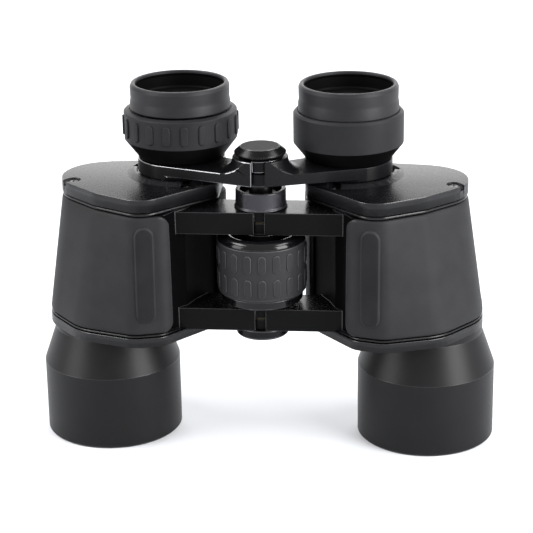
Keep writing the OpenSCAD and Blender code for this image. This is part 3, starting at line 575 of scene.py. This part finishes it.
@functools.cache
def course(step):
    """The armour's course at a height of the grid, from its front edge beside the wheel round to its back edge.

    Its points are (place, normal, distance from the front edge).
    """
    line = band(body_circles(step / GRID))
    # both edges are on the wheel's side of the body, where x is small
    first = next(i for i, (p, n) in enumerate(line) if p.y < FRONT_EDGE and p.x < 40)
    line = line[first:] + line[:first]
    last = next(i for i, (p, n) in enumerate(line) if i > 20 and p.y < BACK_EDGE and p.x < 30)
    front, back = line[-1], line[last]

    def cut(a, b, y):
        """The line's point at y, between its points a and b."""
        t = (y - a[0].y) / (b[0].y - a[0].y)
        return a[0].lerp(b[0], t), a[1].lerp(b[1], t).normalized()
    line = [cut(front, line[0], FRONT_EDGE)] + line[:last] + [cut(line[last - 1], back, BACK_EDGE)]
    lengths = [0.0]
    for (p, _), (q, _) in zip(line, line[1:]):
        lengths.append(lengths[-1] + (q - p).length)
    out, i = [], 0
    for want in spaced(lengths[-1]):
        while i < len(line) - 2 and lengths[i + 1] < want:
            i += 1
        span = max(lengths[i + 1] - lengths[i], 1e-9)
        t = (want - lengths[i]) / span
        out.append((line[i][0].lerp(line[i + 1][0], t), line[i][1].lerp(line[i + 1][1], t).normalized(), want))
    return out


def sample(z, column):
    """The point at height z, between the two nearest courses of the grid."""
    low = math.floor(z * GRID)
    t = (z - low / GRID) * GRID
    a = course(low)[column]
    if t < 1e-6:
        return a
    b = course(low + 1)[column]
    return a[0].lerp(b[0], t), a[1].lerp(b[1], t).normalized(), a[2] * (1 - t) + b[2] * t


def drop(edge):
    """How far the rounded edge falls back at the distance edge from it."""
    if edge >= EDGE_RADIUS:
        return 0.0
    return EDGE_RADIUS - math.sqrt(max(EDGE_RADIUS ** 2 - (EDGE_RADIUS - edge) ** 2, 0.0))


def add_armour(side, name):
    """The moulded rubber of one half: a front of columns and rows, and a plain back behind it."""
    height = ARMOUR_HIGH - ARMOUR_LOW
    edge_rows = [0.0, 0.03, 0.12, 0.28, 0.52, EDGE_RADIUS]
    steps = 34
    rows = edge_rows + [EDGE_RADIUS + (height - 2 * EDGE_RADIUS) * k / steps for k in range(1, steps)]
    rows += [height - e for e in reversed(edge_rows)]
    halfway = course(round((ARMOUR_LOW + ARMOUR_HIGH) / 2 * GRID))
    verts, faces, edges = [], [], []
    for column in range(COLUMNS):
        # columns near the front edge end on an arc, which rounds the armour's corners
        across = max(CORNER - halfway[column][2], 0.0)
        lift = CORNER - math.sqrt(CORNER ** 2 - across ** 2)
        for v in rows:
            z = ARMOUR_LOW + lift + v * (height - 2 * lift) / height
            point, n, along = sample(z, column)
            from_back = course(round(z * GRID))[-1][2] - along
            swell = math.cos(math.pi * min(abs(from_back - BULGE_AT) / BULGE_WIDE, 0.5))
            fall = max(drop(min(v, height - v)), drop(min(along, from_back))) - BULGE * max(swell, 0.0) ** 2
            verts.append((point.x - n.x * fall, point.y - n.y * fall, z))
    wide = len(rows)
    for column in range(COLUMNS - 1):
        for v in range(wide - 1):
            a = column * wide + v
            # the front edge and the corners beside it get the paler rubber, a painted highlight
            if column < HIGHLIGHT_COLUMNS or column < CORNER_COLUMNS and (v < 4 or v > wide - 6):
                edges.append(len(faces))
            faces.append((a, a + wide, a + wide + 1, a + 1))
    # the back of the skin, one strip of quads, joined to the front all round
    start = len(verts)
    for column in range(COLUMNS):
        for v in (0, wide - 1):
            x, y, z = verts[column * wide + v]
            _, n, _ = sample(z, column)
            verts.append((x - n.x * (SKIN - EDGE_RADIUS), y - n.y * (SKIN - EDGE_RADIUS), z))
    for column in range(COLUMNS - 1):
        a, b = start + column * 2, column * wide
        faces.append((a, a + 1, a + 3, a + 2))
        faces.append((a, a + 2, b + wide, b))
        faces.append((a + 1, b + wide - 1, b + 2 * wide - 1, a + 3))
    for column in (0, COLUMNS - 1):
        b = column * wide
        faces.append(tuple(range(b, b + wide)) + (start + column * 2 + 1, start + column * 2))
    add_piece("armour_moulded_" + name, "armour_" + name, verts, faces, side, edges=edges, edge=ARMOUR_EDGE_HIGHLIGHT)


def front_at(x, z):
    """Where the armour's front stands at x and z, with its outward normal in plan."""
    line = band(body_circles(z))
    for (p, n), (q, m) in zip(line, line[1:]):
        if p.x <= x <= q.x and p.y < 0 and q.x > p.x:
            t = (x - p.x) / (q.x - p.x)
            return p.lerp(q, t), n.lerp(m, t).normalized()
    raise ValueError("no front at " + str(x))


def add_pad(side, name):
    """The finger pad: an upright oblong with a soft edge, raised from the armour."""
    middle, half, z0, z1 = 41.2, 3.6, 58.0, 95.0
    # each ring's distance inside the outline, and its height over the armour
    levels = [(-0.25, -0.35), (-0.12, 0.0), (0.0, 0.2), (0.12, 0.45), (0.34, 0.68), (0.65, 0.83), (1.05, 0.9),
              (1.8, 0.9), (2.6, 0.9), (3.3, 0.9)]
    outline = upright(z0, z1, half, 12, 26)
    verts = []
    for inset, rise in levels:
        for across, centre, up in outline:
            z = centre + (half - inset) * up
            point, n = front_at(middle + (half - inset) * across, z)
            verts.append((point.x + n.x * rise, point.y + n.y * rise, z))
    count = len(outline)
    # the pad's sloping rim takes the armour's paler rubber, a painted highlight along the pad's edge
    add_piece("finger_pad_moulded_" + name, "armour_" + name, verts, stacked(count, len(levels)), side, PAD,
              edges=range(count, 5 * count), edge=FINISH["armour_rubber"])


# ---------- beads under the covers ----------

# The circles that a cover's outline is stretched round: the body's, but for those beside the wheel
BESIDE_HINGE = (21.5, 6.5, 5.5)
COVER_HIGH = [(43, -10.4, 9.05)] + BODY_HIGH[2:] + [BESIDE_HINGE]
COVER_LOW = [(39.5, -12.5, 7.3)] + BODY_LOW[1:] + [BESIDE_HINGE]


def bare(point):
    """Whether the casting comes through the cover's rim here, between the two halves."""
    return point.x < 33.6 and -11.6 < point.y < 12


def add_bead(name, node, circles, z, radius, inset, side, broken):
    """A half-round bead that runs round a cover's outline, broken where the casting comes through."""
    line = band([(x, y, r - inset) for x, y, r in circles], 20, 2)
    if broken:
        start = next(i for i, (p, _) in enumerate(line) if not bare(p) and bare(line[i - 1][0]))
        line = [spot for spot in line[start:] + line[:start] if not bare(spot[0])]
    verts, faces = [], []
    arc = 10
    for point, n in line:
        for k in range(arc + 1):
            a = math.pi * (k / arc - 0.5)  # from the bead's foot up to its top
            out = radius * math.cos(a)
            verts.append((point.x + n.x * out, point.y + n.y * out, z + radius * math.sin(a)))
    count, wide = len(line), arc + 1
    for i in range(count - 1 if broken else count):
        j = (i + 1) % count
        for k in range(arc):
            faces.append((i * wide + k, j * wide + k, j * wide + k + 1, i * wide + k + 1))
        faces.append((i * wide + arc, j * wide + arc, j * wide, i * wide))
    add_piece(name, node, verts, faces, side, BEAD)


def add_beads(side, name):
    """The beads between the armour and the covers, above it and below it."""
    add_bead("upper_bead_" + name, "eyepiece_cover_" + name, COVER_HIGH, 99.5, 0.66, 0.9, side, False)
    add_bead("lower_bead_" + name, "objective_cover_" + name, COVER_LOW, 52.75, 0.42, 0.68, side, True)


# ---------- the frame's nodes, dressed ----------

# Millimetres that each slot's edges are rounded by; a slot that isn't named keeps its CAD nodes
ROUNDED = {
    "casting": 0.2, "cover_black": 0.22, "screw_steel": 0.1, "cell_black": 0.15, "filter_glass": 0.1,
    "bridge_black": 0.35, "tube_black": 0.2, "ocular_black": 0.2, "pivot_steel": 0.15, "cap_plastic": 0.3,
}
# Slots whose roundings keep their width beside small notches, where clamping would shrink them everywhere
UNCLAMPED = ("bridge_black", "casting", "cover_black")
# Millimetres below which a face is too thin for its edges to be rounded
THIN = {"bridge_black": 0.15, "casting": 0.5, "cover_black": 0.3}
THIN_ELSEWHERE = 0.03
SHARP = math.radians(35)  # an edge that turns less isn't rounded
FLAT = math.radians(0.6)  # faces that turn less are one face
DOUBLED = 0.001  # corners that are closer are one corner
ARM_HUB, ARM_RING = 10.25, 16.55  # radii of a bridge arm at the hinge and round the eyepiece
HAIR, MERGED = 0.08, 0.02  # how far apart the arm's two courses may be, and the corners that they leave
RIM_SLACK = 0.3  # how much further out than its rim a cover's top may reach
INWARD = 0.4  # a casting's face whose normal has more than this of x towards the hinge is a flank, which gets the painted shade


def evened(form, side):
    """Brings the two courses of a bridge arm's front, a hair apart in the solid, into one plane."""
    reach = math.hypot(*EYE)
    share = (ARM_HUB - ARM_RING) / reach
    u = Vector((side * EYE[0] / reach, EYE[1] / reach))
    front = u * share + Vector((u.y, -u.x)) * side * math.sqrt(1 - share * share)
    for vert in form.verts:
        gap = ARM_HUB * MM - (vert.co.x * front.x + (vert.co.y - HINGE_Y) * front.y)
        if abs(gap) < HAIR * MM:
            vert.co.x += gap * front.x
            vert.co.y += gap * front.y
    bmesh.ops.remove_doubles(form, verts=form.verts, dist=MERGED * MM)
    bmesh.ops.dissolve_degenerate(form, dist=MERGED * MM, edges=form.edges)


def rim(edge, tops):
    """Whether an edge is on a cover's upper outline: nothing of the top lies further out than it does."""
    up, out = sorted(edge.link_faces, key=lambda face: -face.normal.z)
    place = (edge.verts[0].co + edge.verts[1].co) / 2
    if up.normal.z < UPWARD or abs(out.normal.z) > 0.3:
        return False
    return all((top - place).dot(out.normal) < RIM_SLACK * MM for top in tops)


def cleaned(mesh, node, slot):
    """Merges doubled corners and flat neighbours, then marks the sharp edges to round, but not those of thin faces."""
    form = bmesh.new()
    form.from_mesh(mesh)
    bmesh.ops.remove_doubles(form, verts=form.verts, dist=DOUBLED * MM)
    if slot == "bridge_black":
        evened(form, -1 if node.endswith("left") else 1)
    bmesh.ops.dissolve_limit(form, angle_limit=FLAT, verts=form.verts, edges=form.edges)
    least = THIN.get(slot, THIN_ELSEWHERE) * MM
    thin = {face for face in form.faces if face.calc_area() < least * max(e.calc_length() for e in face.edges)}
    tops = [vert.co.copy() for face in form.faces if face.normal.z > UPWARD for vert in face.verts]
    marks = form.edges.layers.float.new("bevel_weight_edge")
    for edge in form.edges:
        if len(edge.link_faces) < 2 or edge.calc_face_angle() < SHARP or thin.intersection(edge.link_faces):
            continue
        if slot != "cover_black" or rim(edge, tops):
            edge[marks] = 1.0
    for face in form.faces:
        face.smooth = True
    form.to_mesh(mesh)
    form.free()


def add_dressed(node, slot):
    """A finished copy of a node, which stands in for it."""
    mesh = NODES[node].data.copy()
    if mesh.has_custom_normals:
        mesh.attributes.remove(mesh.attributes["custom_normal"])
    mesh.materials.clear()
    for material in (FINISH[slot], EDGE_OF_NODE.get(node) or edge_of(slot), PAINTED_LIGHT_TOPS.get(slot) or FINISH[slot], PAINTED_SHADE_FLANK):
        mesh.materials.append(material)
    cleaned(mesh, node, slot)
    inward = 1 if node.endswith("left") else -1
    for polygon in mesh.polygons:
        # upward faces take the tops' finish: on castings a painted highlight, on covers a painted shade
        if polygon.normal.z > UPWARD:
            polygon.material_index = 2
        # castings' flanks that face the hinge get the painted shade
        elif slot == "casting" and polygon.normal.x * inward > INWARD:
            polygon.material_index = 3
    piece = bpy.data.objects.new(node + "_finished", mesh)
    SCENE.collection.objects.link(piece)
    rounding = piece.modifiers.new("rounding", "BEVEL")
    rounding.width = ROUNDED[slot] * MM
    rounding.segments = 2
    rounding.limit_method = "WEIGHT"
    rounding.use_clamp_overlap = slot not in UNCLAMPED
    # the rounded edges take the second material, paler for most slots, a painted highlight
    rounding.material = 1
    normals = piece.modifiers.new("normals", "WEIGHTED_NORMAL")
    normals.weight = 100
    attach(piece, BODY_OF[node])
    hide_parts(node)
    REMADE.add(node)


def dress_all():
    """Finishes every node that no piece has replaced yet."""
    for node, slot in SLOT_OF.items():
        if node in REMADE:
            continue
        if slot in ROUNDED:
            add_dressed(node, slot)
        else:
            NODES[node].data.materials.clear()
            NODES[node].data.materials.append(FINISH[slot])


# ---------- floor, lamps and background ----------

FLOOR_HALF = 4.0  # metres, like the lamps' places
FLOOR_WHITE = (0.69, 0.705, 0.73)
FLOOR_BOUNCE = (0.3, 0.3, 0.3, 1.0)
FLOOR_CLOUD_MM = 300.0
FLOOR_GLOW = 0.22
GLOW_START, GLOW_END = 0.7, 1.5  # where the glow starts to grow, and where it is full
AMBIENT = 0.2
# name, place, aim, size, watts, whether the camera sees it
LAMPS = (
    ("left_top", (-0.6, -0.05, 0.85), (0, 0, 0.08), (0.6, 0.3), 7.0, True),
    ("right_top", (0.6, -0.05, 0.85), (0, 0, 0.08), (0.6, 0.3), 6.0, True),
    ("back_top", (0.0, 0.75, 0.8), (0, 0, 0.05), (0.8, 0.3), 6.0, True),
    ("left_box", (-0.75, -0.42, 0.32), (0, 0, 0.09), (0.4, 0.6), 5.0, True),
    ("right_box", (0.74, -0.44, 0.32), (0, 0, 0.09), (0.45, 0.6), 12.0, True),
    ("backdrop", (0.0, 1.3, 0.32), (0, 0, 0.3), (2.4, 0.5), 8.0, False),
)


def background_rays(tree):
    """1 for the rays that see the white background: the camera's, and those through glass or off a shine."""
    path = tree.nodes.new("ShaderNodeLightPath")
    seen = computed(tree, "MAXIMUM", path.outputs["Is Camera Ray"], path.outputs["Is Transmission Ray"])
    return computed(tree, "MAXIMUM", seen, path.outputs["Is Glossy Ray"])


def add_floor():
    """A floor that is white to the camera, and grey to the light that it throws back on the object."""
    mesh = bpy.data.meshes.new("floor")
    half = FLOOR_HALF
    mesh.from_pydata([(-half, -half, 0), (half, -half, 0), (half, half, 0), (-half, half, 0)], [], [(0, 1, 2, 3)])
    floor = bpy.data.objects.new("floor", mesh)
    SCENE.collection.objects.link(floor)
    material, tree, shader, place = new_material("floor")
    cloud = noise(tree, place, FLOOR_CLOUD_MM)
    shade = tree.nodes.new("ShaderNodeMix")
    shade.data_type = "RGBA"
    shade.inputs["A"].default_value = FLOOR_BOUNCE
    tree.links.new(background_rays(tree), shade.inputs["Factor"])
    tree.links.new(tinted(tree, cloud, FLOOR_WHITE, 0.01), shade.inputs["B"])
    tree.links.new(shade.outputs["Result"], shader.inputs["Base Color"])
    shader.inputs["Roughness"].default_value = 0.9
    shader.inputs["Specular IOR Level"].default_value = 0.0
    shader.inputs["Emission Color"].default_value = (1, 1, 1, 1)
    # further out than the lamps reach, the floor's own glow takes over
    away = tree.nodes.new("ShaderNodeVectorMath")
    away.operation = "LENGTH"
    tree.links.new(place, away.inputs[0])
    glow = spread(tree, away.outputs["Value"], FLOOR_GLOW, 1.0, GLOW_START, GLOW_END)
    tree.links.new(computed(tree, "MULTIPLY", glow, background_rays(tree)), shader.inputs["Emission Strength"])
    mesh.materials.append(material)


def add_lamp(name, place, aim, size, watts, seen):
    """A soft box at place, turned to aim."""
    data = bpy.data.lights.new(name, "AREA")
    data.shape = "RECTANGLE"
    data.size, data.size_y = size
    data.energy = watts
    lamp = bpy.data.objects.new(name, data)
    lamp.location = place
    lamp.visible_camera = seen
    lamp.rotation_euler = (Vector(aim) - Vector(place)).to_track_quat("-Z", "Y").to_euler()
    SCENE.collection.objects.link(lamp)


def add_world():
    """A background that is white where it is seen, and dim as a light."""
    world = bpy.data.worlds.new("studio")
    SCENE.world = world
    world.use_nodes = True
    tree = world.node_tree
    background = tree.nodes["Background"]
    background.inputs["Color"].default_value = (1, 1, 1, 1)
    strength = spread(tree, background_rays(tree), AMBIENT, 1.0, 0.0, 1.0)
    tree.links.new(strength, background.inputs["Strength"])


add_camera()
add_turned()
for side, name in SIDES:
    add_armour(side, name)
    add_pad(side, name)
dress_all()
for side, name in SIDES:
    add_beads(side, name)
add_floor()
add_world()
for lamp in LAMPS:
    add_lamp(*lamp)

SCENE.view_settings.view_transform = "Standard"
